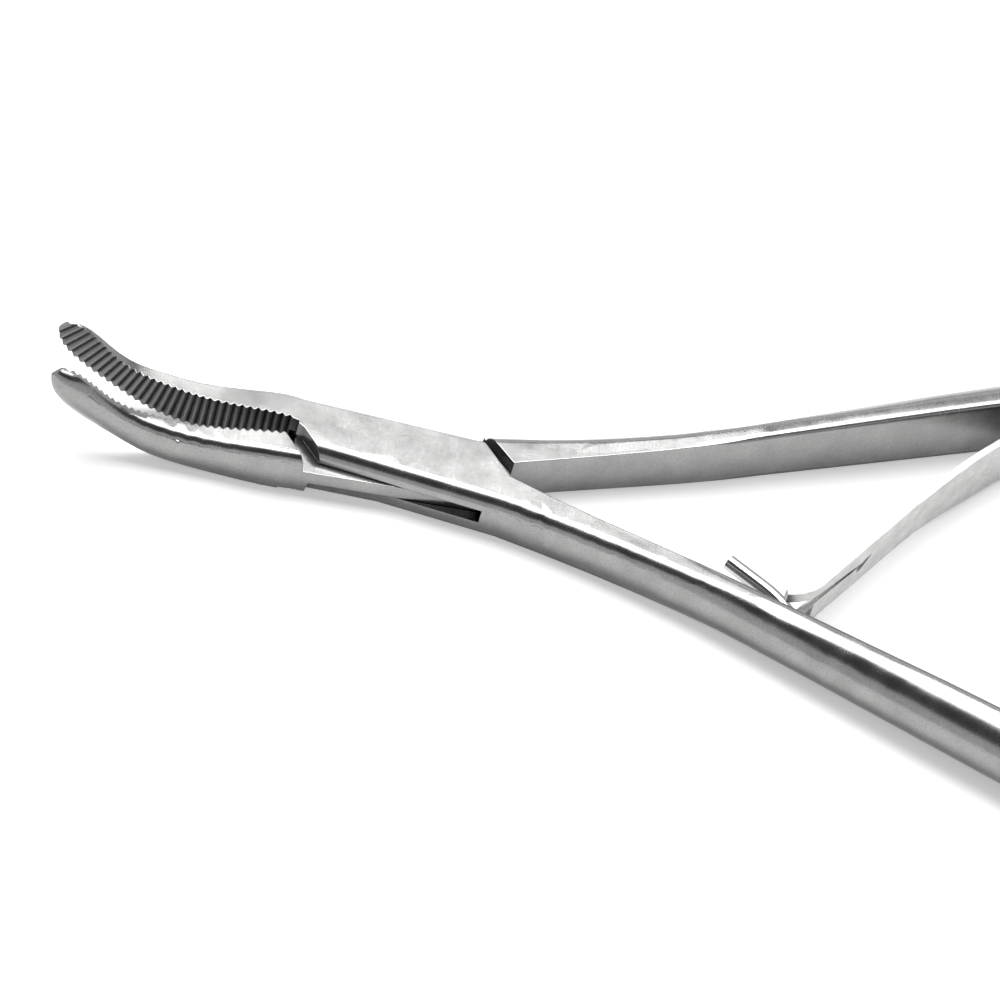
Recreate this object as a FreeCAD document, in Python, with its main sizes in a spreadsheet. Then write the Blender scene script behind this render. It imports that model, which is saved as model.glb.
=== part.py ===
import FreeCAD, Part

import os

import Sketcher
from FreeCAD import Placement, Rotation, Vector

# A spring-handled needle holder with a box lock, about 17 cm long, lying on its flat side. The
# male half passes through a slot in the female half and both turn on one pivot pin. X runs along
# the instrument with the jaws at -X, Z is up, and the origin is the pivot axis on the table.
# Both halves are drawn closed, with their jaws meeting on the plane y = 0, and each is then
# turned open by half of rest_opening. All sizes are millimetres and degrees.

SIZES = {
    # box lock, drawn closed
    "box_height": 4.2,
    "cheek_thickness": 1.4,
    "web_clearance": 0.06,
    "shoulder_clearance": 0.12,
    "wall_clearance": 0.3,
    "jaw_shoulder": 9.9,
    "handle_shoulder": 9.5,
    "shoulder_slant": 38.8,
    "male_jaw_shoulder": 11.0,
    "male_handle_shoulder": 9.8,
    "male_jaw_slant": 28.4,
    "male_handle_slant": 32.4,
    "low_cheek_reach": 9.0,
    "low_cheek_spread": 0.95,
    "low_notch_depth": 2.9,
    "slot_wall_slant": 24.0,
    "jaw_root_half_width": 2.8,
    "pivot_half_width": 3.2,
    "throat_half_width": 3.6,
    "side_crown": 0.45,
    "rest_opening": 10.54,
    # pivot pin, riveted flush in the female half
    "pin_diameter": 3.4,
    "pin_seat_clearance": 0.01,
    "pin_clearance": 0.04,
    # jaws
    "jaw_straight": 18.0,
    "jaw_curve_radius": 20.0,
    "jaw_curve_angle": 43.0,
    "jaw_height": 3.6,
    "jaw_flat": 2.0,
    "jaw_crown": 0.5,
    "jaw_lift": 0.12,
    "tip_height": 2.1,
    "tip_flat": 0.45,
    "nose_length": 0.7,
    "nose_height": 1.1,
    # serrations, square across the jaw faces
    "groove_pitch": 0.72,
    "groove_width": 0.6,
    "groove_depth": 0.31,
    "straight_grooves": 11,
    "curved_grooves": 22,
    # handles: the inner face is a flare, a straight grip, a bow and an end curl
    "flare_start_slope": 14.0,
    "grip_slope": 18.8,
    "flare_radius": 300.0,
    "throat_offset": 0.33,
    "throat_length": 10.0,
    "grip_straight": 44.0,
    "bow_radius": 60.0,
    "bow_end_slope": 24.0,
    "tail_straight": 7.0,
    "curl_radius": 9.0,
    "grip_height": 6.4,
    "grip_flat": 1.4,
    "grip_crown": 3.0,
    "shank_flat": 2.2,
    "end_height": 5.0,
    "end_flat": 2.2,
    "end_crown": 1.7,
    # ratchet arms, one above the other
    "arm_width": 3.4,
    "arm_reach": 11.5,
    "arm_clearance": 0.15,
    "tooth_pitch": 1.6,
    "tooth_depth": 0.55,
    "tooth_count": 5,
    # leaf spring, screwed to the male grip, with a forked tip on the female grip
    "leaf_thickness": 0.7,
    "leaf_middle": 3.0,
    "leaf_root_height": 5.4,
    "leaf_height": 4.4,
    "leaf_seat_depth": 0.25,
    "leaf_seat_clearance": 0.05,
    "leaf_seat_place": 33.7,
    "leaf_root_length": 9.0,
    "leaf_bend_radius": 12.0,
    "leaf_neck_length": 7.76,
    "leaf_neck_slope": 42.0,
    "leaf_arch_radius": 100.0,
    "leaf_slope": 51.0,
    "leaf_blade_length": 17.45,
    "slit_start": 4.6,
    "slit_width": 0.24,
    "slit_eye_width": 0.9,
    "slit_height": 3.95,
    "low_prong_height": 3.35,
    "hook_start": 13.2,
    "hook_radius": 4.6,
    "hook_end_slope": 8.0,
    "hook_end_length": 0.3,
    "fork_gap": 1.95,
    "fork_length": 3.4,
    # spring screw
    "screw_diameter": 1.8,
    "screw_head_diameter": 3.4,
    "screw_head_height": 0.9,
    "screw_depth": 2.6,
    "screw_place": 5.2,
    "screw_clearance": 0.05,
    # guide pin, pressed into the female grip, bent back towards the jaws
    "guide_diameter": 1.45,
    "guide_middle": 2.3,
    "guide_place": 3.75,
    "guide_root_depth": 2.4,
    "guide_root_slope": 72.0,
    "guide_bend_radius": 9.3,
    "guide_end_slope": 32.0,
    "guide_free_length": 4.0,
    "guide_clearance": 0.02,
}

UP, BACK = Vector(0, 0, 1), Vector(0, 1, 0)

doc = FreeCAD.newDocument("NeedleHolder")
sheet = doc.addObject("Spreadsheet::Sheet", "Sizes")
for row, (alias, value) in enumerate(SIZES.items(), start=1):
    sheet.set(f"A{row}", alias)
    sheet.set(f"B{row}", str(value))
    sheet.setAlias(f"B{row}", alias)
doc.recompute()


def sized(formula):
    """Writes a formula on the sheet's aliases in the form that an expression takes."""
    for alias in sorted(SIZES, key=len, reverse=True):
        formula = formula.replace(alias, "Sizes." + alias.upper())
    for alias in SIZES:
        formula = formula.replace("Sizes." + alias.upper(), "Sizes." + alias)
    return formula


def value_of(formula):
    result = sheet.evalExpression(sized(formula))
    return float(getattr(result, "Value", result))


def new_sketch(body, name, plane, place=None, turn_axis=UP, turn="0"):
    """A sketch on one of the body's own origin planes, offset and turned by formulas."""
    sketch = body.newObject("Sketcher::SketchObject", name)
    origin_plane = [f for f in body.Origin.OriginFeatures if f.Role == plane][0]
    sketch.AttachmentSupport = (origin_plane, [""])
    sketch.MapMode = "FlatFace"
    place = place or ("0", "0", "0")
    base = Vector(*[value_of(p) for p in place])
    sketch.AttachmentOffset = Placement(base, Rotation(turn_axis, value_of(turn)))
    for axis, formula in zip("xyz", place):
        if formula != "0":
            sketch.setExpression(f"AttachmentOffset.Base.{axis}", sized(formula))
    if turn != "0":
        sketch.setExpression("AttachmentOffset.Rotation.Angle", sized(turn))
    return sketch


def dimension(sketch, name, kind, *arguments):
    """A named driving dimension; the last argument is its formula."""
    formula = arguments[-1]
    at = sketch.addConstraint(Sketcher.Constraint(kind, *arguments[:-1], value_of(formula)))
    sketch.renameConstraint(at, name)
    sketch.setExpression(f"Constraints.{name}", sized(formula))


def polygon(sketch, corners):
    """A closed outline whose corners are pairs of formulas."""
    points = [Vector(value_of(x), value_of(y), 0) for x, y in corners]
    count = len(points)
    for i in range(count):
        sketch.addGeometry(Part.LineSegment(points[i], points[(i + 1) % count]), False)
    for i in range(count):
        sketch.addConstraint(Sketcher.Constraint("Coincident", i, 2, (i + 1) % count, 1))
    for i, (x, y) in enumerate(corners):
        dimension(sketch, f"x{i}", "DistanceX", -1, 1, i, 1, x)
        dimension(sketch, f"y{i}", "DistanceY", -1, 1, i, 1, y)


def d_section(sketch, side, height, flat, crown):
    """A D-shaped section: flat inner face on the sketch's vertical axis, flat top and bottom, and
    a crowned back towards side."""
    tall, wide, bulge = value_of(height) / 2, value_of(flat) * side, value_of(crown) * side
    low, high = Vector(wide, -tall, 0), Vector(wide, tall, 0)
    start, end = (low, high) if side > 0 else (high, low)
    low_end, high_end = (1, 2) if side > 0 else (2, 1)
    sketch.addGeometry(Part.LineSegment(Vector(0, -tall, 0), Vector(0, tall, 0)), False)
    sketch.addGeometry(Part.LineSegment(Vector(0, tall, 0), high), False)
    sketch.addGeometry(Part.LineSegment(low, Vector(0, -tall, 0)), False)
    sketch.addGeometry(Part.Arc(start, Vector(wide + bulge, 0, 0), end), False)
    inner, top, bottom, back = range(4)
    for constraint in (
        ("Coincident", inner, 2, top, 1),
        ("Coincident", bottom, 2, inner, 1),
        ("Coincident", top, 2, back, high_end),
        ("Coincident", back, low_end, bottom, 1),
        ("Symmetric", inner, 1, inner, 2, -1, 1),
        ("Vertical", inner),
        ("Horizontal", top),
        ("Horizontal", bottom),
        ("Vertical", back, 1, back, 2),
    ):
        sketch.addConstraint(Sketcher.Constraint(*constraint))
    dimension(sketch, "height", "DistanceY", inner, 1, inner, 2, height)
    ends = (top, 1, top, 2) if side > 0 else (top, 2, top, 1)
    dimension(sketch, "flat", "DistanceX", *ends, flat)
    dimension(sketch, "back", "Radius", back, f"(({height})^2 / 4 + ({crown})^2) / (2 * ({crown}))")


def loft(body, name, sections, ruled=False):
    feature = body.newObject("PartDesign::AdditiveLoft", name)
    feature.Profile = sections[0]
    feature.Sections = sections[1:]
    feature.Ruled = ruled
    return feature


def pocket(body, name, sketch, reverse=False, both=False, depth=None):
    """Cuts a sketch's outline through the body, or to a depth: below its plane, above it if
    reversed, or both ways."""
    feature = body.newObject("PartDesign::Pocket", name)
    feature.Profile = sketch
    feature.Reversed = reverse
    feature.Midplane = both
    if depth:
        feature.Type = "Length"
        feature.setExpression("Length", sized(depth))
    else:
        feature.Type = "ThroughAll"
    return feature


def signed(side, formula):
    return formula if side > 0 else f"-({formula})"


# The inner face of a handle, as the place and slope of a section that stands square on it. Along
# the flare the slope grows, along the bow and the end curl it falls to square across.
FLARE_END_X = "throat_length + flare_radius * (sin(grip_slope) - sin(flare_start_slope))"
FLARE_END_Y = "throat_offset + flare_radius * (cos(flare_start_slope) - cos(grip_slope))"
BOW_START_X = f"{FLARE_END_X} + grip_straight * cos(grip_slope)"
BOW_START_Y = f"{FLARE_END_Y} + grip_straight * sin(grip_slope)"
BOW_END_X = f"{BOW_START_X} + bow_radius * (sin(grip_slope) + sin(bow_end_slope))"
BOW_END_Y = f"{BOW_START_Y} + bow_radius * (cos(bow_end_slope) - cos(grip_slope))"
TAIL_END_X = f"{BOW_END_X} + tail_straight * cos(bow_end_slope)"
TAIL_END_Y = f"{BOW_END_Y} - tail_straight * sin(bow_end_slope)"
CURL_END_X = f"{TAIL_END_X} + curl_radius * (1 - sin(bow_end_slope))"
CURL_END_Y = f"{TAIL_END_Y} - curl_radius * cos(bow_end_slope)"


def on_flare(share):
    slope = f"(flare_start_slope + (grip_slope - flare_start_slope) * {share})"
    x = f"throat_length + flare_radius * (sin({slope}) - sin(flare_start_slope))"
    y = f"throat_offset + flare_radius * (cos(flare_start_slope) - cos({slope}))"
    return x, y, slope


def on_grip(share):
    x = f"{FLARE_END_X} + {share} * grip_straight * cos(grip_slope)"
    y = f"{FLARE_END_Y} + {share} * grip_straight * sin(grip_slope)"
    return x, y, "grip_slope"


def on_bow(share):
    slope = f"(grip_slope - (grip_slope + bow_end_slope) * {share})"
    x = f"{BOW_START_X} + bow_radius * (sin(grip_slope) - sin({slope}))"
    y = f"{BOW_START_Y} + bow_radius * (cos({slope}) - cos(grip_slope))"
    return x, y, slope


def on_curl(share):
    slope = f"(bow_end_slope + (90 - bow_end_slope) * {share})"
    x = f"{TAIL_END_X} + curl_radius * (sin({slope}) - sin(bow_end_slope))"
    y = f"{TAIL_END_Y} + curl_radius * (cos({slope}) - cos(bow_end_slope))"
    return x, y, f"-{slope}"


def between(start, end, share):
    return f"({start} + ({end} - {start}) * {share})"


def add_handle(body, side):
    """One handle and its side of the box: smooth lofts of D sections along the box and the
    shank, then ruled ones along the grip, the bow and the end curl."""
    box = ("box_height", "side_crown")
    stations = [
        ("-jaw_shoulder", "0", "0", "jaw_root_half_width", *box),
        ("0", "0", "0", "pivot_half_width", *box),
        ("handle_shoulder", "0", "0", "throat_half_width", *box),
    ]
    waist = between("shank_flat", "throat_half_width", 0.5)
    stations.append((*on_flare(0.17), waist, *box))
    for place, flat, growth in (
        (on_flare(0.5), "shank_flat", 0.1),
        (on_flare(1), between("grip_flat", "shank_flat", 0.2), 0.38),
        (on_grip(0.4), "grip_flat", 0.76),
        (on_grip(0.7), "grip_flat", 0.93),
        (on_grip(1), "grip_flat", 1),
    ):
        height = between("box_height", "grip_height", growth)
        crown = between("side_crown", "grip_crown", growth)
        stations.append((*place, flat, height, crown))
    for share in range(1, 8):
        stations.append((*on_bow(f"{share} / 7"), "grip_flat", "grip_height", "grip_crown"))
    for share in (0, 0.2, 0.4, 0.6, 0.8, 1):
        step = 0.25 + 0.75 * share
        flat = between("grip_flat", "end_flat", step)
        height = between("grip_height", "end_height", step)
        crown = between("grip_crown", "end_crown", step)
        stations.append((*on_curl(share), flat, height, crown))
    sections = []
    for number, (x, y, slope, flat, height, crown) in enumerate(stations):
        place = (signed(side, y), f"({height}) / 2", x)
        turn = signed(side, slope) if slope != "0" else "0"
        sketch = new_sketch(body, f"handle_section_{number}", "YZ_Plane", place, BACK, turn)
        d_section(sketch, side, height, flat, crown)
        sections.append(sketch)
    loft(body, "handle_side", sections[:3])
    loft(body, "shank", sections[2:6])
    loft(body, "grip", sections[5:], ruled=True)


def add_jaw(body, side):
    """One jaw and its side of the box, then a curve that lifts the tip, as two lofts."""
    middle = "(box_height / 2 - jaw_lift)"
    root = [
        ("handle_shoulder", "throat_half_width"),
        ("0", "pivot_half_width"),
        ("-jaw_shoulder", "jaw_root_half_width"),
    ]
    stations = [(x, "box_height / 2", "0", flat, "box_height", "side_crown") for x, flat in root]
    height = between("box_height", "jaw_height", 0.3)
    flat = between("jaw_root_half_width", "jaw_flat", 0.37)
    level = f"(box_height / 2 - jaw_lift * 0.3)"
    stations.append(("-(jaw_straight - 3.8)", level, "0", flat, height, "side_crown"))
    for share, taper in ((0, 0), (0.33, 0.24), (0.67, 0.59), (1, 1)):
        angle = f"(jaw_curve_angle * {share})"
        x = f"-(jaw_straight + jaw_curve_radius * sin({angle}))"
        z = f"{middle} + jaw_curve_radius * (1 - cos({angle}))"
        height = between("jaw_height", "tip_height", taper)
        flat = between("jaw_flat", "tip_flat", share)
        stations.append((x, z, angle, flat, height, "jaw_crown"))
    reach = "(jaw_curve_radius * sin(jaw_curve_angle) + nose_length * cos(jaw_curve_angle))"
    lift = "(jaw_curve_radius * (1 - cos(jaw_curve_angle)) + nose_length * sin(jaw_curve_angle))"
    nose = (f"-(jaw_straight + {reach})", f"{middle} + {lift}", "jaw_curve_angle")
    stations.append((*nose, "tip_flat * 0.5", "nose_height", "jaw_crown * 0.5"))
    sections = []
    for number, (x, z, tilt, flat, height, crown) in enumerate(stations):
        sketch = new_sketch(
            body, f"jaw_section_{number}", "YZ_Plane", ("0", z, x), Vector(1, 0, 0), tilt
        )
        d_section(sketch, side, height, flat, crown)
        sections.append(sketch)
    loft(body, "jaw_side", sections[:3])
    loft(body, "jaw", sections[2:])


def add_serrations(body, side):
    """V grooves square across the mating face, stepped along the root and round the curve."""
    middle = "(box_height / 2 - jaw_lift)"
    sketch = new_sketch(body, "groove", "XY_Plane", ("-jaw_straight", "0", middle))
    mouth = signed(-side, "groove_depth * 0.2")
    corners = [
        ("-groove_width * 0.6", mouth),
        ("0", signed(side, "groove_depth")),
        ("groove_width * 0.6", mouth),
    ]
    polygon(sketch, corners)
    cut = pocket(body, "first_groove", sketch, both=True, depth="box_height * 1.6")
    row = body.newObject("PartDesign::LinearPattern", "root_grooves")
    row.Originals = [cut]
    row.Direction = (sketch, ["H_Axis"])
    row.setExpression("Length", sized("groove_pitch * (straight_grooves - 1)"))
    row.setExpression("Occurrences", sized("straight_grooves"))
    doc.recompute()
    body.Tip = row
    centre = new_sketch(
        body, "curve_centre", "XZ_Plane", ("-jaw_straight", f"{middle} + jaw_curve_radius", "0")
    )
    fan = body.newObject("PartDesign::PolarPattern", "curved_row")
    fan.Originals = [cut]
    fan.Axis = (centre, ["N_Axis"])
    fan.Reversed = True
    step = "groove_pitch / jaw_curve_radius * 180 / pi"
    fan.setExpression("Angle", sized(f"{step} * (curved_grooves - 1)"))
    fan.setExpression("Occurrences", sized("curved_grooves"))
    body.Tip = fan


def slanted(x, y, slant):
    """The x of a line through (x, 0) that leans back by slant as y grows."""
    return f"({x}) - ({y}) * tan({slant})"


FAR = "10"  # past the sides of the box

# The leaf's seat and screw lie on the inner face of the male grip. The leaf then runs back across
# the opening: a bend to the neck's slope, the neck, and the arch that ends where the blade starts.
SEAT_ABOVE = "leaf_thickness"
LEAF_ABOVE = "(leaf_thickness / 2 - leaf_seat_depth)"
ROOT_WAY, NECK_WAY, BLADE_WAY = (
    f"(180 + {slope})" for slope in ("grip_slope", "leaf_neck_slope", "leaf_slope")
)
BEND_X = (
    f"({FLARE_END_X} + leaf_seat_place * cos(grip_slope) + {LEAF_ABOVE} * sin(grip_slope)"
    " - leaf_bend_radius * (sin(leaf_neck_slope) - sin(grip_slope)))"
)
BEND_Y = (
    f"({FLARE_END_Y} + leaf_seat_place * sin(grip_slope) - {LEAF_ABOVE} * cos(grip_slope)"
    " + leaf_bend_radius * (cos(leaf_neck_slope) - cos(grip_slope)))"
)
BLADE_X = (
    f"({BEND_X} - leaf_neck_length * cos(leaf_neck_slope)"
    " - leaf_arch_radius * (sin(leaf_slope) - sin(leaf_neck_slope)))"
)
BLADE_Y = (
    f"({BEND_Y} - leaf_neck_length * sin(leaf_neck_slope)"
    " + leaf_arch_radius * (cos(leaf_slope) - cos(leaf_neck_slope)))"
)


def leaf_frame(along, above):
    """Where a sketch on XZ lies parallel to the leaf's seat, along it and above the grip."""
    x = f"{FLARE_END_X} + (leaf_seat_place + {along}) * cos(grip_slope) + ({above}) * sin(grip_slope)"
    y = f"{FLARE_END_Y} + (leaf_seat_place + {along}) * sin(grip_slope) - ({above}) * cos(grip_slope)"
    return (x, "leaf_middle", f"-({y})"), BACK, "grip_slope"


def guide_frame(out):
    """Where a sketch on YZ lies square to the guide pin's root, out from the female grip."""
    x = f"{FLARE_END_X} + guide_place * cos(grip_slope) - ({out}) * cos(guide_root_slope)"
    y = f"-({FLARE_END_Y} + guide_place * sin(grip_slope)) + ({out}) * sin(guide_root_slope)"
    return (y, "guide_middle", x), BACK, "180 - guide_root_slope"


def add_ratchet(body, side, upper):
    """An arm that carries on from the curl across the middle, at half the height, with saw teeth
    on the face that looks at the other arm."""
    gap = "end_height / 2 + arm_clearance"
    level = gap if upper else "0"
    sketch = new_sketch(body, "arm_outline", "XY_Plane", ("0", "0", level))
    near, far = CURL_END_X, f"{CURL_END_X} + arm_width"
    root = signed(side, f"{CURL_END_Y} + 0.8")
    outline = [(near, root), (far, root)]
    for start, way in ((far, "-"), (near, "+")):
        turn = [(0, 0.35), (0.1, 0.1), (0.35, 0)]
        for across, back in turn if way == "-" else turn[::-1]:
            y = signed(side, f"{CURL_END_Y} - arm_reach + arm_width * {back}")
            outline.append((f"{start} {way} arm_width * {across}", y))
    polygon(sketch, outline)
    arm = body.newObject("PartDesign::Pad", "arm")
    arm.Profile = sketch
    arm.setExpression("Length", sized("end_height / 2 - arm_clearance"))
    face = gap if upper else "end_height / 2 - arm_clearance"
    deep = "tooth_depth" if upper else "-tooth_depth"
    over = "-0.1" if upper else "0.1"
    tooth = new_sketch(body, "tooth", "YZ_Plane", ("0", face, CURL_END_X))
    first = f"{CURL_END_Y} - arm_reach + 0.9"
    polygon(
        tooth,
        [
            (signed(side, first), over),
            (signed(side, first), deep),
            (signed(side, f"{first} + tooth_pitch * 0.85"), "0"),
            (signed(side, f"{first} + tooth_pitch * 0.85"), over),
        ],
    )
    cut = pocket(body, "first_tooth", tooth, both=True, depth="arm_width * 3")
    teeth = body.newObject("PartDesign::LinearPattern", "teeth")
    teeth.Originals = [cut]
    teeth.Direction = (tooth, ["H_Axis"])
    teeth.Reversed = side < 0
    teeth.setExpression("Length", sized("tooth_pitch * (tooth_count - 1)"))
    teeth.setExpression("Occurrences", sized("tooth_count"))
    body.Tip = teeth


def circle(sketch, radius):
    """A circle about the sketch's own centre."""
    sketch.addGeometry(Part.Circle(Vector(0, 0, 0), UP, value_of(radius)), False)
    sketch.addConstraint(Sketcher.Constraint("Coincident", 0, 3, -1, 1))
    dimension(sketch, "radius", "Radius", 0, radius)


def rectangle(sketch, half_width, half_height):
    """A rectangle centred on the sketch's own centre."""
    left, low = f"-({half_width})", f"-({half_height})"
    corners = [(left, low), (half_width, low), (half_width, half_height), (left, half_height)]
    polygon(sketch, corners)


def path(sketch, start, steps):
    """A line that starts at a pair of formulas and goes on through straight steps, (length, way),
    and arcs that touch them, (radius, way in, way out). A way is the angle it heads in."""
    x, y = value_of(start[0]), value_of(start[1])
    kinds = []
    for step in steps:
        if len(step) == 2:
            length, way = (value_of(s) for s in step)
            turn = Rotation(UP, way)
            end = Vector(x, y, 0) + turn.multVec(Vector(length, 0, 0))
            sketch.addGeometry(Part.LineSegment(Vector(x, y, 0), end), False)
            ends = (1, 2)
        else:
            radius, way_in, way_out = (value_of(s) for s in step)
            left = 1 if way_out > way_in else -1
            centre = Vector(x, y, 0) + Rotation(UP, way_in).multVec(Vector(0, left * radius, 0))
            halfway, end = (
                centre + Rotation(UP, way).multVec(Vector(0, -left * radius, 0))
                for way in ((way_in + way_out) / 2, way_out)
            )
            sketch.addGeometry(Part.Arc(Vector(x, y, 0), halfway, end), False)
            ends = (1, 2) if left > 0 else (2, 1)
        kinds.append(ends)
        x, y = end.x, end.y
    dimension(sketch, "start_x", "DistanceX", -1, 1, 0, kinds[0][0], start[0])
    dimension(sketch, "start_y", "DistanceY", -1, 1, 0, kinds[0][0], start[1])
    for i in range(1, len(steps)):
        joint = Sketcher.Constraint("Tangent", i - 1, kinds[i - 1][1], i, kinds[i][0])
        sketch.addConstraint(joint)
    for i, step in enumerate(steps):
        if len(step) == 2:
            length, way = step
            dimension(sketch, f"run{i}", "DistanceX", i, 1, i, 2, f"({length}) * cos({way})")
            dimension(sketch, f"rise{i}", "DistanceY", i, 1, i, 2, f"({length}) * sin({way})")
        else:
            dimension(sketch, f"bend{i}", "Radius", i, step[0])


def pipe(body, name, profile, spine):
    feature = body.newObject("PartDesign::AdditivePipe", name)
    feature.Profile = profile
    feature.Spine = (spine, [f"Edge{i + 1}" for i in range(spine.GeometryCount)])
    return feature


def female_half():
    """The box half: its cheeks run unbroken above and below a slot that is open at both sides."""
    body = doc.addObject("PartDesign::Body", "female_half")
    body.Label = "female_half"
    add_handle(body, -1)
    add_jaw(body, 1)
    outside = new_sketch(body, "cheek_ends", "XY_Plane")
    handle_side = [
        (slanted("-jaw_shoulder", "-0.7", "shoulder_slant"), "-0.7"),
        ("-jaw_shoulder - 0.25", "-0.2"),
        ("-jaw_shoulder - 0.9", "0"),
        ("-jaw_shoulder - 12", "0"),
        ("-jaw_shoulder - 12", f"-{FAR}"),
        (slanted("-jaw_shoulder", f"-{FAR}", "shoulder_slant"), f"-{FAR}"),
    ]
    polygon(outside, handle_side)
    pocket(body, "front_cheek_end", outside, both=True)
    outside = new_sketch(body, "rear_cheek_end_line", "XY_Plane")
    jaw_side = [
        ("handle_shoulder", "0"),
        ("handle_shoulder + 12", "0"),
        ("handle_shoulder + 12", FAR),
        (slanted("handle_shoulder", FAR, "shoulder_slant"), FAR),
    ]
    polygon(outside, jaw_side)
    pocket(body, "rear_cheek_end", outside, both=True)
    slot = new_sketch(body, "slot_outline", "XY_Plane", ("0", "0", "cheek_thickness"))
    left = "-(jaw_shoulder + 0.7)"
    polygon(
        slot,
        [
            (left, "0"),
            (f"{left} + {FAR} * tan(slot_wall_slant)", FAR),
            (f"handle_shoulder + {FAR}", FAR),
            ("handle_shoulder", "0"),
            (f"handle_shoulder - {FAR} * tan(slot_wall_slant)", f"-{FAR}"),
            (f"-(jaw_shoulder + {FAR})", f"-{FAR}"),
        ],
    )
    pocket(body, "slot", slot, reverse=True, depth="box_height - 2 * cheek_thickness")
    low = new_sketch(body, "low_cheek_outline", "XY_Plane")
    end = "asin(({half}) / low_cheek_reach)".format(half="jaw_root_half_width + low_cheek_spread")
    rim = [(f"-low_cheek_reach * cos({a})", f"-low_cheek_reach * sin({a})") for a in (end, f"{end} / 2", "2")]
    polygon(low, [("-1", "-pivot_half_width + 0.1"), ("-1", "-1"), *rim[::-1]])
    cheek = body.newObject("PartDesign::Pad", "low_cheek")
    cheek.Profile = low
    cheek.setExpression("Length", sized("cheek_thickness"))
    bore = new_sketch(body, "pin_bore", "XY_Plane")
    circle(bore, "pin_diameter / 2 + pin_seat_clearance")
    pocket(body, "pin_hole", bore, both=True)
    hole = new_sketch(body, "guide_hole", "YZ_Plane", *guide_frame("guide_diameter"))
    circle(hole, "guide_diameter / 2 + guide_clearance")
    reach = "guide_diameter + guide_root_depth + guide_clearance"
    pocket(body, "guide_socket", hole, depth=reach)
    add_serrations(body, 1)
    add_ratchet(body, -1, upper=False)
    return body


def male_half():
    """The half whose jaw and handle are joined by a flat web through the slot."""
    body = doc.addObject("PartDesign::Body", "male_half")
    body.Label = "male_half"
    add_handle(body, 1)
    add_jaw(body, -1)
    rear = [
        (slanted("male_handle_shoulder", way + FAR, "male_handle_slant"), way + FAR)
        for way in ("-", "")
    ]
    front = slanted("-male_jaw_shoulder", f"-{FAR}", "male_jaw_slant")
    top = [("-male_jaw_shoulder", "0"), (front, f"-{FAR}"), *rear, (f"-2 * {FAR}", FAR), (f"-2 * {FAR}", "0")]
    inside = "-(low_cheek_reach - 1)"
    notch = [("-male_jaw_shoulder", "0"), ("-male_jaw_shoulder", "-low_notch_depth"), (inside, "-low_notch_depth")]
    bottom = [*notch, (inside, f"-{FAR}"), *top[2:]]
    level = "box_height - cheek_thickness - web_clearance"
    under = "cheek_thickness + web_clearance"
    for name, height, above, outline in (("top", level, True, top), ("bottom", under, False, bottom)):
        sketch = new_sketch(body, f"{name}_cheek_outline", "XY_Plane", ("0", "0", height))
        polygon(sketch, outline)
        pocket(body, f"{name}_recess", sketch, reverse=above)
    sketch = new_sketch(body, "low_cheek_sweep", "XY_Plane", ("0", "0", under))
    circle(sketch, "low_cheek_reach + shoulder_clearance")
    pocket(body, "low_shoulder", sketch)
    left = "-(jaw_shoulder + 0.7 - wall_clearance)"
    sketch = new_sketch(body, "web_rear_edge", "XY_Plane")
    polygon(
        sketch,
        [
            (left, "0"),
            (f"{left} + {FAR} * tan(slot_wall_slant)", FAR),
            (f"-(jaw_shoulder + {FAR})", FAR),
            (f"-(jaw_shoulder + {FAR})", "0"),
        ],
    )
    pocket(body, "web_rear_cut", sketch, both=True)
    right = "handle_shoulder - wall_clearance"
    sketch = new_sketch(body, "web_front_edge", "XY_Plane")
    polygon(
        sketch,
        [
            (right, "0"),
            (f"{right} - {FAR} * tan(slot_wall_slant)", f"-{FAR}"),
            (f"handle_shoulder + {FAR}", f"-{FAR}"),
            (f"handle_shoulder + {FAR}", "0"),
        ],
    )
    pocket(body, "web_front_cut", sketch, both=True)
    bore = new_sketch(body, "pin_bore", "XY_Plane")
    circle(bore, "pin_diameter / 2 + pin_clearance")
    pocket(body, "pin_hole", bore, both=True)
    seat = new_sketch(body, "leaf_seat_outline", "XZ_Plane", *leaf_frame("0", SEAT_ABOVE))
    low, high = (f"{sign}(leaf_root_height / 2 + leaf_seat_clearance)" for sign in ("-", ""))
    near = "-(sqrt(2 * leaf_bend_radius * leaf_seat_depth) + 4 * leaf_seat_clearance)"
    far = "leaf_root_length + leaf_seat_clearance"
    polygon(seat, [(near, low), (far, low), (far, high), (near, high)])
    pocket(body, "leaf_seat", seat, depth=f"{SEAT_ABOVE} + leaf_seat_depth")
    hole = new_sketch(body, "screw_hole", "XZ_Plane", *leaf_frame("screw_place", SEAT_ABOVE))
    circle(hole, "screw_diameter / 2 + screw_clearance")
    reach = f"{SEAT_ABOVE} + screw_depth + 2 * screw_clearance"
    pocket(body, "screw_socket", hole, depth=reach)
    add_serrations(body, -1)
    add_ratchet(body, 1, upper=True)
    return body


def pivot_pin():
    """A plain rivet, flush with both cheeks."""
    body = doc.addObject("PartDesign::Body", "pivot_pin")
    sketch = new_sketch(body, "pin_circle", "XY_Plane")
    circle(sketch, "pin_diameter / 2")
    pin = body.newObject("PartDesign::Pad", "pin")
    pin.Profile = sketch
    pin.setExpression("Length", sized("box_height"))
    return body


def guide_pin():
    """A round pin that leaves the female grip at a slant and bends back towards the jaws."""
    body = doc.addObject("PartDesign::Body", "guide_pin")
    place, axis, turn = guide_frame("-guide_root_depth")
    section = new_sketch(body, "guide_section", "YZ_Plane", place, axis, turn)
    circle(section, "guide_diameter / 2")
    spine = new_sketch(body, "guide_path", "XY_Plane", ("0", "0", "guide_middle"))
    out, back = "(180 - guide_root_slope)", "(180 - guide_end_slope)"
    steps = [
        ("guide_root_depth", out),
        ("guide_bend_radius", out, back),
        ("guide_free_length", back),
    ]
    path(spine, (place[2], place[0]), steps)
    pipe(body, "guide", section, spine)
    return body


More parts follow.
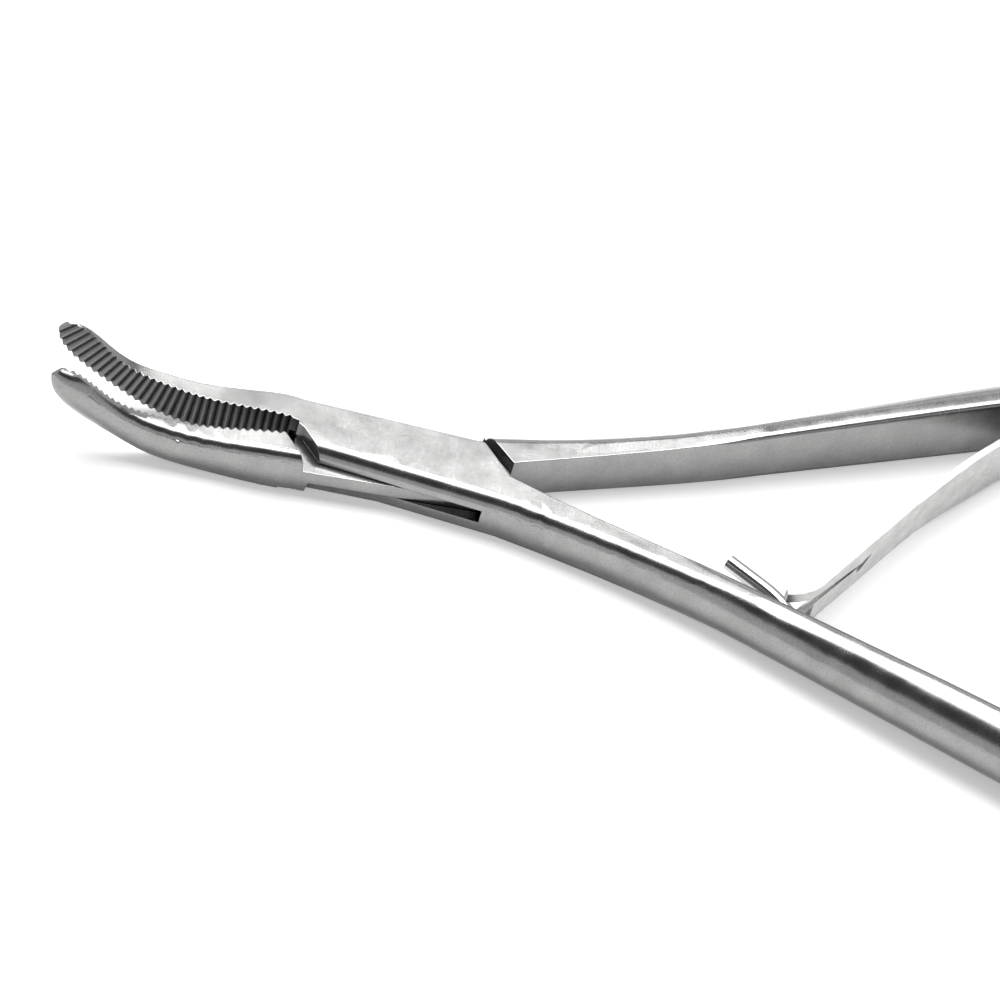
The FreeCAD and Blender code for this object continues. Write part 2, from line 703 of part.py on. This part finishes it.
def leaf_spring():
    """The leaf: a root plate on the grip, a bend, a slight arch and a straight blade. A slit
    divides its tip into a hooked upper prong and a lower one, which straddles the guide pin."""
    body = doc.addObject("PartDesign::Body", "leaf_spring")
    place, axis, _ = leaf_frame("leaf_root_length", LEAF_ABOVE)
    start = (place[0], f"-({place[2]})")
    section = new_sketch(
        body, "leaf_section", "YZ_Plane", (start[1], "leaf_middle", start[0]), BACK, ROOT_WAY
    )
    rectangle(section, "leaf_thickness / 2", "leaf_root_height / 2")
    spine = new_sketch(body, "leaf_path", "XY_Plane", ("0", "0", "leaf_middle"))
    steps = [
        ("leaf_root_length", ROOT_WAY),
        ("leaf_bend_radius", ROOT_WAY, NECK_WAY),
        ("leaf_neck_length", NECK_WAY),
        ("leaf_arch_radius", NECK_WAY, BLADE_WAY),
        ("leaf_blade_length", BLADE_WAY),
    ]
    path(spine, start, steps)
    pipe(body, "leaf", section, spine)
    blade = (BLADE_X, "leaf_middle", f"-({BLADE_Y})")
    end = "-(leaf_blade_length + leaf_thickness)"
    tall, low = "leaf_root_height / 2", "leaf_height / 2"
    over = f"{tall} + leaf_thickness"
    slope_start, slope_end = "leaf_thickness * 5", "leaf_thickness * 17"
    for name, way in (("top", ""), ("bottom", "-")):
        taper = new_sketch(body, f"{name}_taper", "XZ_Plane", blade, BACK, "leaf_slope")
        outline = [(end, low), (slope_start, low), (slope_end, tall), (slope_end, over), (end, over)]
        polygon(taper, [(x, f"{way}({z})") for x, z in outline])
        pocket(body, f"{name}_edge", taper, both=True)
    slit = "(slit_height - leaf_middle)"
    parting = new_sketch(body, "parting_outline", "XZ_Plane", blade, BACK, "leaf_slope")
    lip = "(low_prong_height - leaf_middle)"
    polygon(parting, [(end, lip), ("-hook_start", lip), ("-hook_start", over), (end, over)])
    pocket(body, "parting", parting, both=True)
    prong_low = f"({slit} + slit_width)"
    prong_level = f"leaf_middle + ({low} + {prong_low}) / 2"
    before = "(hook_start - 2 * leaf_thickness)"
    hook_x = f"{BLADE_X} - {before} * cos(leaf_slope)"
    hook_y = f"{BLADE_Y} - {before} * sin(leaf_slope)"
    prong = new_sketch(
        body, "prong_section", "YZ_Plane", (hook_y, prong_level, hook_x), BACK, BLADE_WAY
    )
    rectangle(prong, "leaf_thickness / 2", f"({low} - {prong_low}) / 2")
    hook = new_sketch(body, "hook_path", "XY_Plane", ("0", "0", prong_level))
    steps = [
        ("2 * leaf_thickness", BLADE_WAY),
        ("hook_radius", BLADE_WAY, "(180 + hook_end_slope)"),
        ("hook_end_length", "(180 + hook_end_slope)"),
    ]
    path(hook, (hook_x, hook_y), steps)
    pipe(body, "hooked_prong", prong, hook)
    opening = new_sketch(body, "slit_outline", "XZ_Plane", blade, BACK, "leaf_slope")
    eye_top = f"{slit} - 0.7 * slit_eye_width"
    polygon(
        opening,
        [
            ("-slit_start", f"{eye_top} + slit_width"),
            ("-(slit_start + 1.8 * slit_eye_width)", eye_top),
            ("-hook_start - slit_width / 4", f"{slit} + slit_width"),
            ("-hook_start - slit_width / 4", lip),
            ("-(slit_start + 2.6 * slit_eye_width)", f"{eye_top} - slit_width"),
            ("-(slit_start + 2.4 * slit_eye_width)", f"{eye_top} - slit_eye_width"),
            ("-(slit_start + 1.7 * slit_eye_width)", f"{eye_top} - slit_eye_width"),
        ],
    )
    pocket(body, "slit", opening, both=True)
    fork = new_sketch(body, "fork_outline", "XZ_Plane", blade, BACK, "leaf_slope")
    shoulder = "-(leaf_blade_length - fork_length)"
    lower, upper = (f"guide_middle - leaf_middle {sign} fork_gap / 2" for sign in "-+")
    polygon(fork, [(end, lower), (shoulder, lower), (shoulder, upper), (end, upper)])
    pocket(body, "fork", fork, both=True)
    hole = new_sketch(body, "screw_hole", "XZ_Plane", *leaf_frame("screw_place", SEAT_ABOVE))
    circle(hole, "screw_diameter / 2 + screw_clearance")
    pocket(body, "screw_passage", hole, depth=f"{SEAT_ABOVE} + screw_depth")
    return body


def spring_screw():
    """A slotted screw that clamps the leaf's root plate in its seat."""
    body = doc.addObject("PartDesign::Body", "spring_screw")
    under = "leaf_thickness - leaf_seat_depth"
    outline = new_sketch(body, "head_circle", "XZ_Plane", *leaf_frame("screw_place", under))
    circle(outline, "screw_head_diameter / 2")
    head = body.newObject("PartDesign::Pad", "head")
    head.Profile = outline
    head.setExpression("Length", sized("screw_head_height"))
    round_shank = new_sketch(body, "shank_circle", "XZ_Plane", *leaf_frame("screw_place", under))
    circle(round_shank, "screw_diameter / 2")
    shank = body.newObject("PartDesign::Pad", "shank")
    shank.Profile = round_shank
    shank.Reversed = True
    shank.setExpression("Length", sized(f"{under} + screw_depth"))
    top = f"{under} + screw_head_height"
    slot = new_sketch(body, "driver_slot", "XZ_Plane", *leaf_frame("screw_place", top))
    rectangle(slot, "screw_head_diameter", "screw_head_height * 0.3")
    pocket(body, "slot", slot, depth="screw_head_height * 0.5")
    return body


parts = {}
for maker, way in (
    (female_half, -1),
    (male_half, 1),
    (pivot_pin, 0),
    (guide_pin, -1),
    (leaf_spring, 1),
    (spring_screw, 1),
):
    piece = maker()
    piece.Label = maker.__name__
    if way:
        piece.Placement = Placement(Vector(), Rotation(UP * way, value_of("rest_opening / 2")))
        piece.setExpression("Placement.Rotation.Angle", sized("rest_opening / 2"))
    parts[piece.Label] = piece
doc.recompute()

for item in doc.Objects:
    if "Invalid" in item.State or "Error" in item.State:
        raise RuntimeError(f"{item.Label}: {item.State}")
for label, piece in parts.items():
    shape = piece.Shape
    if shape.isNull() or not shape.isValid() or len(shape.Solids) != 1:
        raise RuntimeError(f"{label}: its shape is not one valid solid")
    print(label, "volume", round(shape.Volume, 2))

os.makedirs("parts", exist_ok=True)
for label, piece in parts.items():
    piece.Shape.exportStep(f"parts/{label}.step")
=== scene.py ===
from math import cos, radians, sin

import bpy
from mathutils import Matrix, Vector


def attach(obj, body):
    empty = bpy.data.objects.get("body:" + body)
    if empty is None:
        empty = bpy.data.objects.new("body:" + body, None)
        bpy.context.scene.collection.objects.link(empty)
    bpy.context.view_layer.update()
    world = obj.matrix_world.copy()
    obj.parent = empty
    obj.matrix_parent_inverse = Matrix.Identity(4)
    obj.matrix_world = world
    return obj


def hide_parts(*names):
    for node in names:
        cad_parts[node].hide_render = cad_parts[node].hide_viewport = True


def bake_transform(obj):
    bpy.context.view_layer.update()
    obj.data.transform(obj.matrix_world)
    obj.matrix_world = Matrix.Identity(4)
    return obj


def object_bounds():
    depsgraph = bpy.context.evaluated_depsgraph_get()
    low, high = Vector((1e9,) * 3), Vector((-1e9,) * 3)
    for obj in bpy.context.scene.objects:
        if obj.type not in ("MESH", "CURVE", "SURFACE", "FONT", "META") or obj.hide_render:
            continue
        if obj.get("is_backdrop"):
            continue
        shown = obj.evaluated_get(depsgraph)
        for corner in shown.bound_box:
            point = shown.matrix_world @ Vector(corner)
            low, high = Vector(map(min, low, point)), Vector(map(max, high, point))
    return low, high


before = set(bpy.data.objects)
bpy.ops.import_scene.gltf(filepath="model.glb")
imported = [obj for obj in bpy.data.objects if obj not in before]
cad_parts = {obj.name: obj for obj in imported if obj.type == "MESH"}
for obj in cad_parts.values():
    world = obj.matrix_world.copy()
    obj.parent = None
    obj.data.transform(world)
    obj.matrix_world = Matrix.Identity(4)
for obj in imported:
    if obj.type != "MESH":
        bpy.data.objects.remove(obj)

cad_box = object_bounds()

# The female half
# The half with the slot: one forging of stainless steel, from its jaw through both cheeks of the
# box to its handle. It is blasted to a satin along the sides, finished with very fine lines on
# the flat top, and ground to a wide rounding along the outer edge of the handle.


class Socket:
    """A node socket that Python's own arithmetic works on."""

    def __init__(self, tree, link):
        self.tree = tree
        self.link = link

    def math(self, operation, *others):
        return new_node(self.tree, "ShaderNodeMath", {"operation": operation}, self, *others)

    def __add__(self, other):
        return self.math("ADD", other)

    def __mul__(self, other):
        return self.math("MULTIPLY", other)

    def __sub__(self, other):
        return self.math("SUBTRACT", other)

    def __rsub__(self, other):
        return new_node(self.tree, "ShaderNodeMath", {"operation": "SUBTRACT"}, other, self)

    __radd__ = __add__
    __rmul__ = __mul__

    def ramp(self, low, high, start=0.0, end=1.0):
        """Runs smoothly from start to end while the value goes from low to high."""
        settings = {"interpolation_type": "SMOOTHSTEP"}
        return new_node(self.tree, "ShaderNodeMapRange", settings, self, low, high, start, end)


def new_node(tree, kind, settings, *values, out=0, **named):
    """Adds a node, sets it up, fills its sockets in order or by name, and gives one output."""
    node = tree.nodes.new(kind)
    for name, value in settings.items():
        setattr(node, name, value)
    sockets = list(zip(node.inputs, values))
    sockets += [(node.inputs[name.replace("_", " ")], value) for name, value in named.items()]
    for socket, value in sockets:
        if isinstance(value, Socket):
            tree.links.new(value.link, socket)
        else:
            socket.default_value = value
    return Socket(tree, node.outputs[out])


def noise(tree, place, scale, detail=3.0):
    """Fine random mottling; scale is in features per metre, one number or one for each axis."""
    if isinstance(scale, tuple):
        place = new_node(tree, "ShaderNodeMapping", {}, place, Scale=scale)
        scale = 1.0
    return new_node(tree, "ShaderNodeTexNoise", {}, place, Scale=scale, Detail=detail)


def mixed(tree, share, first, second, kind="RGBA"):
    """Mixes two colours or two vectors."""
    node = tree.nodes.new("ShaderNodeMix")
    node.data_type = kind
    first_in, second_in, out = {"RGBA": (6, 7, 2), "VECTOR": (4, 5, 1)}[kind]
    for at, value in ((0, share), (first_in, first), (second_in, second)):
        if isinstance(value, Socket):
            tree.links.new(value.link, node.inputs[at])
        else:
            node.inputs[at].default_value = value
    return Socket(tree, node.outputs[out])


def grey(shade):
    return (shade, shade, shade * 0.99, 1)


def new_material(name, metallic=1.0):
    material = bpy.data.materials.new(name)
    material.use_nodes = True
    tree = material.node_tree
    surface = tree.nodes["Principled BSDF"]
    surface.inputs["Metallic"].default_value = metallic
    place = new_node(tree, "ShaderNodeTexCoord", {}, out=3)
    return material, tree, surface, place


def feed(tree, surface, **sockets):
    for name, value in sockets.items():
        tree.links.new(value.link, surface.inputs[name.replace("_", " ")])


def open_share(tree, reach):
    """How open a spot is, from 0 deep in a gap to 1 out in the light."""
    return new_node(
        tree, "ShaderNodeAmbientOcclusion", {"samples": 8}, Distance=reach, out=1
    )


def rounded_normal(tree, radius, samples):
    """The normal that the surface would have if its edges were rounded to a radius."""
    return new_node(tree, "ShaderNodeBevel", {"samples": samples}, radius)


def forged_steel():
    """Flat fine-lined tops, blasted sides in painted shade, painted gap shade, a flush face over
    the pivot.
    """
    material, tree, surface, place = new_material("forged_steel")
    facing = new_node(tree, "ShaderNodeTexCoord", {}, out=1)
    up = new_node(tree, "ShaderNodeSeparateXYZ", {}, facing, out=2)
    flat_top = up.ramp(0.93, 0.995)
    blast = noise(tree, place, 7500.0, 2.0)
    cloud = noise(tree, place, 420.0)
    across = noise(tree, place, (900.0, 9000.0, 9000.0), 2.0)
    along = noise(tree, place, (9000.0, 1100.0, 9000.0), 2.0)
    side_grain = (blast - 0.5) * 0.34 + (cloud - 0.5) * 0.24
    top_grain = (across - 0.5) * 0.16 + (along - 0.5) * 0.16 + (cloud - 0.5) * 0.08
    grain = side_grain + flat_top * (top_grain - side_grain)
    # Painted shade: darker in the gaps and crevices where the parts close in.
    painted_gap_shade = open_share(tree, 0.0016).ramp(0.12, 0.5)
    # Painted shade: the sides are darker than the lit tops, and darker still close to the table.
    painted_table_shade = open_share(tree, 0.004).ramp(0.0, 1.0, 0.55, 1.0)
    painted_side_shade = painted_table_shade * 0.62
    lit_top_tone = 0.92
    tone = (grain + 0.5) * painted_gap_shade * (painted_side_shade + flat_top * (lit_top_tone - painted_side_shade))
    feed(tree, surface, Base_Color=mixed(tree, tone, grey(0.02), grey(0.90)))
    feed(tree, surface, Roughness=(cloud - 0.5) * 0.16 + (blast - 0.5) * 0.1 + 0.24)
    around = new_node(tree, "ShaderNodeVectorMath", {"operation": "MULTIPLY"}, place, (1, 1, 0))
    from_pivot = new_node(tree, "ShaderNodeVectorMath", {"operation": "LENGTH"}, around, out=1)
    past_pivot = from_pivot.ramp(0.0022, 0.0026)
    on_grip = from_pivot.ramp(0.026, 0.034)
    normal = mixed(tree, past_pivot, facing, rounded_normal(tree, 0.00012, 8), "VECTOR")
    normal = mixed(tree, on_grip, normal, rounded_normal(tree, 0.0009, 16), "VECTOR")
    relief = blast * (1 - flat_top) + (across + along) * flat_top * 0.3
    bump = new_node(
        tree, "ShaderNodeBump", {}, Strength=0.05, Distance=0.00002, Height=relief, Normal=normal
    )
    feed(tree, surface, Normal=bump)
    return material


def serrated_steel():
    """The cut faces of the jaws, painted dark as shade: painted shade in the grooves, a little
    lighter on the crests.
    """
    material, tree, surface, place = new_material("serrated_steel")
    grain = noise(tree, place, 6000.0)
    # Painted shade in the grooves.
    painted_groove_shade = open_share(tree, 0.0004).ramp(0.35, 0.9)
    feed(tree, surface, Base_Color=mixed(tree, painted_groove_shade * (grain * 0.5 + 0.6), grey(0.02), grey(0.24)))
    feed(tree, surface, Roughness=(grain - 0.5) * 0.2 + 0.42)
    normal = rounded_normal(tree, 0.00004, 4)
    bump = new_node(
        tree, "ShaderNodeBump", {}, Strength=0.2, Distance=0.00002, Height=grain, Normal=normal
    )
    feed(tree, surface, Normal=bump)
    return material


forged = forged_steel()
serrated = serrated_steel()
half_opening = radians(5.27)
serration_start = -0.0099
serration_depth = 0.00034
on_face = 0.00002
weld = 0.000002
ground_weld = 0.000008

# The rounding: each handle's runs from the box to where the crowned grip begins, and fades there.
handle_span = (0.0085, 0.045)
fade_span = (0.026, 0.032)
jaw_span = (-0.0290, -0.0080)
handle_radius = 0.0013
faded_radius = 0.0004
jaw_radius = 0.00095
path_step = 0.0007
least_gap = 0.0004
bore_reach = 0.0025
lowest_edge = 0.0035
overcut = 0.000005


def only(piece):
    """Makes a piece the one selected object."""
    bpy.ops.object.select_all(action="DESELECT")
    piece.select_set(True)
    bpy.context.view_layer.objects.active = piece


def edit_all(piece, change):
    """Applies one mesh operation to the whole of a piece."""
    only(piece)
    bpy.ops.object.mode_set(mode="EDIT")
    bpy.ops.mesh.select_all(action="SELECT")
    change()
    bpy.ops.object.mode_set(mode="OBJECT")


def smooth_copy(node, name, angle, *materials):
    """A copy of a CAD node with its facets joined up and smoothed, which stands for the node."""
    piece = bpy.data.objects.new(name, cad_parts[node].data.copy())
    bpy.context.scene.collection.objects.link(piece)
    only(piece)
    bpy.ops.mesh.customdata_custom_splitnormals_clear()
    edit_all(piece, lambda: bpy.ops.mesh.remove_doubles(threshold=weld))
    bpy.ops.object.shade_smooth_by_angle(angle=radians(angle))
    piece.data.materials.clear()
    for material in materials:
        piece.data.materials.append(material)
    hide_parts(node)
    return piece


def top_edge(piece, outer, low, high):
    """The sharp outer edge of the flat top between two places along the instrument."""
    level = 0.6 if high < 0 else 0.97  # the top of a jaw slants, and that of a handle is flat
    beside = {}
    for face in piece.data.polygons:
        for edge in face.edge_keys:
            beside.setdefault(edge, []).append(face.normal)
    corners = set()
    for edge, normals in beside.items():
        top, flank = sorted(normals, key=lambda normal: -normal.z)
        faces_out = flank.y * outer > 0.3 and abs(flank.x) < 0.6
        if top.z > level and faces_out and top.angle(flank) > radians(25):
            corners.update(edge)
    points = sorted((piece.data.vertices[at].co.copy() for at in corners), key=lambda co: co.x)
    path = []
    for co in points:
        apart = not path or co.x - path[-1].x > least_gap
        if low < co.x < high and co.z > lowest_edge and co.xy.length > bore_reach and apart:
            path.append(co)
    return path


def evenly(path, step):
    """The same path with a point at every step, so that nothing on it is kinked."""
    spaced = []
    x = path[0].x
    at = 0
    while x < path[-1].x:
        while path[at + 1].x < x:
            at += 1
        share = (x - path[at].x) / (path[at + 1].x - path[at].x)
        spaced.append(path[at].lerp(path[at + 1], share))
        x += step
    for _ in range(4):
        spaced[1:-1] = [(a + b * 2 + c) / 4 for a, b, c in zip(spaced, spaced[1:], spaced[2:])]
    return spaced


def side_profile(piece, spot, top, out, radius, probes=30):
    """The side below one spot of the edge, as pairs of how far in and how far down it lies."""
    clear, reach = 0.003, 0.004
    for step in range(1, probes + 1):
        drop = radius * step / probes
        start = spot + out * clear - top * drop
        hit, place, _, _ = piece.ray_cast(start, -out, distance=reach)
        if hit:
            yield (spot - place).dot(out), drop


def rounding_section(piece, spot, along, outer, radius, steps=10):
    """The outline to grind off at one spot: an arc that meets the top and the side smoothly."""
    out = Vector((-along.y, along.x, 0)).normalized()
    if out.y * outer < 0:
        out = -out
    top = out.cross(along).normalized()
    if top.z < 0:
        top = -top
    inset, touch = radius * 0.3, (0, radius * 0.3)
    for depth, drop in side_profile(piece, spot, top, out, radius):
        wanted = depth + (radius**2 - (radius - drop) ** 2) ** 0.5
        if wanted > inset:
            inset, touch = wanted, (depth, drop)
    centre = spot - top * radius - out * inset
    flank = (out * (inset - touch[0]) + top * (radius - touch[1])).normalized()
    turn = max(0.02, top.angle(flank))
    centre -= (top + flank) * overcut
    arc = []
    for step in range(steps + 1):
        share = step / steps
        ray = (top * sin(turn * (1 - share)) + flank * sin(turn * share)) / sin(turn)
        arc.append(centre + ray * radius)
    lift = radius * 0.6
    return [arc[0] + top * lift, *arc, arc[-1] + flank * lift, spot + (top + flank) * lift]


def faded(radius, x):
    """The radius left at x, since the rounding fades out where the crowned grip begins."""
    start, end = fade_span
    share = min(1, max(0, (x - start) / (end - start)))
    return radius + (faded_radius - radius) * share


def loft(name, sections):
    """A closed solid through a row of outlines that all have the same number of corners."""
    count = len(sections[0])
    corners = [corner for section in sections for corner in section]
    last = len(corners) - count
    faces = [tuple(range(count))[::-1], tuple(range(last, len(corners)))]
    for row in range(0, last, count):
        for at in range(count):
            turn = (at + 1) % count
            faces.append((row + at, row + turn, row + turn + count, row + at + count))
    mesh = bpy.data.meshes.new(name)
    mesh.from_pydata(corners, [], faces)
    solid = bpy.data.objects.new(name, mesh)
    bpy.context.scene.collection.objects.link(solid)
    edit_all(solid, lambda: bpy.ops.mesh.normals_make_consistent(inside=False))
    return solid


def grind(piece, outer, span, radius, overrun):
    """Rounds the outer top edge by cutting away a long sliver; overrun is in steps of the path."""
    path = evenly(top_edge(piece, outer, *span), path_step)
    path[0] = path[0] + (path[0] - path[1]) * overrun[0]
    path[-1] = path[-1] + (path[-1] - path[-2]) * overrun[1]
    sections = []
    for at, spot in enumerate(path):
        along = (path[min(at + 1, len(path) - 1)] - path[max(at - 1, 0)]).normalized()
        inside = path[min(max(at, 2), len(path) - 3)]
        section = rounding_section(piece, inside, along, outer, faded(radius, spot.x))
        sections.append([corner + spot - inside for corner in section])
    cutter = loft("cutter", sections)
    only(piece)
    modifier = piece.modifiers.new("grind", "BOOLEAN")
    modifier.object = cutter
    modifier.operation = "DIFFERENCE"
    modifier.solver = "EXACT"
    bpy.ops.object.modifier_apply(modifier=modifier.name)
    bpy.data.objects.remove(cutter)


def settle(piece):
    """Smooths a ground piece and keeps its flat faces looking flat."""
    edit_all(piece, lambda: bpy.ops.mesh.remove_doubles(threshold=ground_weld))
    bpy.ops.object.shade_smooth_by_angle(angle=radians(30))
    modifier = piece.modifiers.new("flat", "WEIGHTED_NORMAL")
    modifier.keep_sharp = True
    bpy.ops.object.modifier_apply(modifier=modifier.name)


def mark_serrations(piece, side):
    """Gives the cut jaw face, which lies on a plane through the pivot axis, its own dark material
    of painted shade.
    """
    for face in piece.data.polygons:
        x, y, _ = face.center
        inward = x * sin(half_opening) + side * y * cos(half_opening)
        in_cut = -on_face < inward < serration_depth and abs(face.normal.z) < 0.8
        if x < serration_start and in_cut:
            face.material_index = 1


female = smooth_copy("female_half", "female_forging", 30, forged, serrated)
grind(female, -1, (-handle_span[0], handle_span[1]), handle_radius, (4, 0))
settle(female)
mark_serrations(female, 1)
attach(female, "female")

# The male half
# The half whose flat web passes through the slot. It is forged and finished like the other one,
# and its jaw and handle, which stand out from the box behind slanted shoulders, are both rounded.

male = smooth_copy("male_half", "male_forging", 30, forged, serrated)
grind(male, 1, handle_span, handle_radius, (3, 0))
grind(male, -1, jaw_span, jaw_radius, (0, 3))
settle(male)
mark_serrations(male, -1)
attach(male, "male")

# The pivot pin
# A plain steel pin, riveted through both cheeks of the box and ground flush with them, so that
# no joint can be seen.

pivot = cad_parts["pivot_pin"]
pivot.data.materials.clear()
pivot.data.materials.append(forged)

# The guide pin
# A round pin of polished steel, pressed slantwise into the lower handle and bent back over it.


def polished_steel():
    material, tree, surface, place = new_material("polished_steel")
    cloud = noise(tree, place, 500.0)
    lines = noise(tree, place, (2500.0, 2500.0, 12000.0))
    tone = (cloud - 0.5) * 0.3 + (lines - 0.5) * 0.25 + 0.5
    feed(tree, surface, Base_Color=mixed(tree, tone, grey(0.36), grey(0.72)))
    feed(tree, surface, Roughness=(lines - 0.5) * 0.12 + 0.17)
    bump = new_node(tree, "ShaderNodeBump", {}, Strength=0.15, Distance=0.00001, Height=lines)
    feed(tree, surface, Normal=bump)
    return material


polished = polished_steel()
guide = smooth_copy("guide_pin", "guide_pin_rod", 40, polished)
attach(guide, "female")

# The leaf spring
# A flat leaf of plain spring steel, screwed to the upper handle, whose slit tip rides on the
# lower one. It is duller than the rest, and lightly scratched.


def leaf_steel():
    material, tree, surface, place = new_material("spring_steel")
    cloud = noise(tree, place, 700.0)
    fine = noise(tree, place, (4000.0, 4000.0, 14000.0))
    scratch = noise(tree, place, (1100.0, 1100.0, 6000.0), 4.0).ramp(0.60, 0.66)
    tone = (cloud - 0.5) * 0.3 + (fine - 0.5) * 0.25 + scratch * 0.16 + 0.5
    # Painted shade where the leaf lies close to other parts.
    painted_gap_shade = open_share(tree, 0.0008).ramp(0.15, 0.6)
    feed(tree, surface, Base_Color=mixed(tree, tone * painted_gap_shade, grey(0.05), grey(0.95)))
    feed(tree, surface, Roughness=(fine - 0.5) * 0.16 + 0.36)
    normal = rounded_normal(tree, 0.00008, 4)
    relief = fine * 0.4 - scratch
    bump = new_node(
        tree, "ShaderNodeBump", {}, Strength=0.3, Distance=0.00002, Height=relief, Normal=normal
    )
    feed(tree, surface, Normal=bump)
    return material


leaf = smooth_copy("leaf_spring", "spring_leaf", 30, leaf_steel())
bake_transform(leaf)

# The spring screw
# A small steel screw with a domed head, which holds the leaf against the inside of the handle.

screw = smooth_copy("spring_screw", "screw", 30, polished)
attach(screw, "male")

# The table
# The instrument lies on a plain white sheet that is lit a little from below, as on a light table.

below_steel = 0.00002
sheet_size = 6
bpy.ops.object.select_all(action="DESELECT")
bpy.ops.mesh.primitive_plane_add(size=sheet_size, location=(0, 0, -below_steel))
table = bpy.context.object
table.name = "table"
sheet, _, surface, _ = new_material("white_sheet", 0.0)
surface.inputs["Base Color"].default_value = (0.9, 0.9, 0.9, 1)
surface.inputs["Roughness"].default_value = 0.9
surface.inputs["Emission Color"].default_value = (1, 1, 1, 1)
surface.inputs["Emission Strength"].default_value = 0.36
table.data.materials.append(sheet)
table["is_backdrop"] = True

# The light
# One large soft box hangs high behind the instrument, below a dark ceiling, and pale walls stand
# all round. The box whitens the rounded edges, and the ceiling draws the dark line under them.

lamp = bpy.data.lights.new("soft_box", "AREA")
lamp.shape = "RECTANGLE"
lamp.size = 1.5
lamp.size_y = 1.15
lamp.energy = 30
soft_box = bpy.data.objects.new("soft_box", lamp)
bpy.context.scene.collection.objects.link(soft_box)
soft_box.location = (0.0, 0.60, 1.38)
soft_box.rotation_euler = (-soft_box.location).to_track_quat("-Z", "Y").to_euler()

room = bpy.data.worlds.new("room")
room.use_nodes = True
bpy.context.scene.world = room
walls = room.node_tree
direction = new_node(walls, "ShaderNodeTexCoord", {})
height = new_node(walls, "ShaderNodeSeparateXYZ", {}, direction, out=2)
brightness = height.ramp(0.46, 0.56, 0.85, 0.08)
walls.links.new(brightness.link, walls.nodes["Background"].inputs["Strength"])
walls.nodes["Background"].inputs["Color"].default_value = (1, 1, 1, 1)

# The camera
# A macro view from the front and above, rolled so that the instrument runs across the picture.

camera_place = (-0.0504, -0.3886, 0.3579)
sight_line = Vector((0.1124, 0.7312, -0.6728))
picture_right = Vector((0.9743, 0.0519, 0.2191))
view = bpy.data.cameras.new("camera")
view.sensor_width = 36
view.lens = 213.8
view.clip_start = 0.01
view.clip_end = 20
camera = bpy.data.objects.new("camera", view)
bpy.context.scene.collection.objects.link(camera)
right = picture_right.normalized()
back = -sight_line.normalized()
up = back.cross(right).normalized()
right = up.cross(back)
turn = Matrix((right, up, back)).transposed().to_4x4()
camera.matrix_world = Matrix.Translation(camera_place) @ turn
bpy.context.scene.camera = camera
bpy.context.scene.view_settings.view_transform = "Standard"

boxes = {"cad": cad_box, "visual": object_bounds()}
{name: [list(corner) for corner in box] for name, box in boxes.items()}
